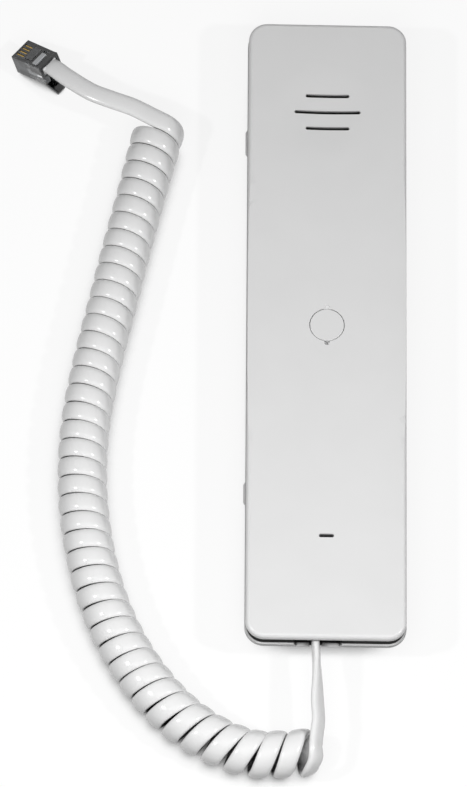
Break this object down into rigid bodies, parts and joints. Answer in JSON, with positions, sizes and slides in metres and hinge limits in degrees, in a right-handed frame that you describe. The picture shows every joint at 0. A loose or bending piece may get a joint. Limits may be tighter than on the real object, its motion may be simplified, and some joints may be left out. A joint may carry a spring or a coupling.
{
  "type": "corded telephone handset",
  "caption": "Slim rectangular telephone handset with a round centre key, ear and mouth slots, and a flat curly cord that ends in a clear modular plug.",
  "frame": {"origin": "middle of the back of the handset, on the surface it lies on, measured without the cord", "axes": "+Z out of the front face, +Y along the handset towards the ear end, +X to the right when the front face is seen with the ear end up"},
  "size_m": [0.1156, 0.2324, 0.018],
  "materials": {
    "front_plastic": "smooth light grey moulded plastic, satin gloss",
    "rear_plastic": "light grey moulded plastic, fine satin",
    "seal_rubber": "black rubber",
    "screw_steel": "bright zinc plate",
    "black_plastic": "black moulded plastic",
    "red_plastic": "red moulded plastic",
    "cream_plastic": "cream moulded plastic",
    "board": "green solder mask",
    "weight_steel": "plain steel bar",
    "cloth": "black acoustic cloth",
    "foam": "dark grey foam",
    "film": "thin pale film",
    "copper": "enamelled copper wire",
    "magnet": "plated magnet",
    "capsule_metal": "plain aluminium can",
    "contact_metal": "gold plated",
    "wire_red": "red wire insulation",
    "wire_blue": "blue wire insulation",
    "wire_green": "green wire insulation",
    "clear_plastic": "clear moulded polycarbonate",
    "cord_jacket": "smooth light grey cord jacket"
  },
  "bodies": {
    "handset": {"front_shell": "front_plastic", "gap_seal": "seal_rubber", "rear_shell": "rear_plastic", "case_screws": "screw_steel", "switch_body": "black_plastic", "circuit_board": "board", "board_screws": "screw_steel", "board_connectors": "cream_plastic", "board_components": "black_plastic", "balance_weight": "weight_steel", "ear_cloth": "cloth", "receiver_gasket": "foam", "receiver_diaphragm": "film", "receiver_coil": "copper", "receiver_magnet": "magnet", "receiver_frame": "black_plastic", "receiver_pad": "foam", "mic_boot": "seal_rubber", "mic_capsule": "capsule_metal", "jack_housing": "black_plastic", "jack_contacts": "contact_metal", "receiver_leads": "wire_red", "mic_leads": "wire_blue", "jack_leads": "wire_green", "handset_plug_body": "clear_plastic", "handset_plug_contacts": "contact_metal", "free_plug_body": "clear_plastic", "free_plug_contacts": "contact_metal", "cord_tail": "cord_jacket", "cord_coil": "cord_jacket", "cord_lead": "cord_jacket"},
    "key": {"push_key": "front_plastic"},
    "plunger": {"switch_plunger": "red_plastic"},
    "handset_latch": {"handset_plug_latch": "clear_plastic"},
    "free_latch": {"free_plug_latch": "clear_plastic"}
  },
  "joints": [
    {"name": "key_press", "type": "slide", "parent": "handset", "child": "key", "axis": [0, 0, -1], "range_m": [0, 0.0006], "stiffness_N_per_m": 1500, "springref_m": -0.0002},
    {"name": "plunger_press", "type": "slide", "parent": "handset", "child": "plunger", "axis": [0, 0, -1], "range_m": [0, 0.0006]},
    {"name": "handset_latch_press", "type": "hinge", "parent": "handset", "child": "handset_latch", "pos_m": [0.0005, -0.0811, 0.0112], "axis": [0, 0, -1], "range_deg": [0, 8], "stiffness_Nm_per_rad": 0.1},
    {"name": "free_latch_press", "type": "hinge", "parent": "handset", "child": "free_latch", "pos_m": [-0.08745, 0.09009, 0.00183], "axis": [-0.6373, -0.7667, 0.078], "range_deg": [0, 14], "stiffness_Nm_per_rad": 0.1}
  ],
  "couplings": [
    {"joint": "plunger_press", "follows": "key_press", "ratio": 1}
  ]
}
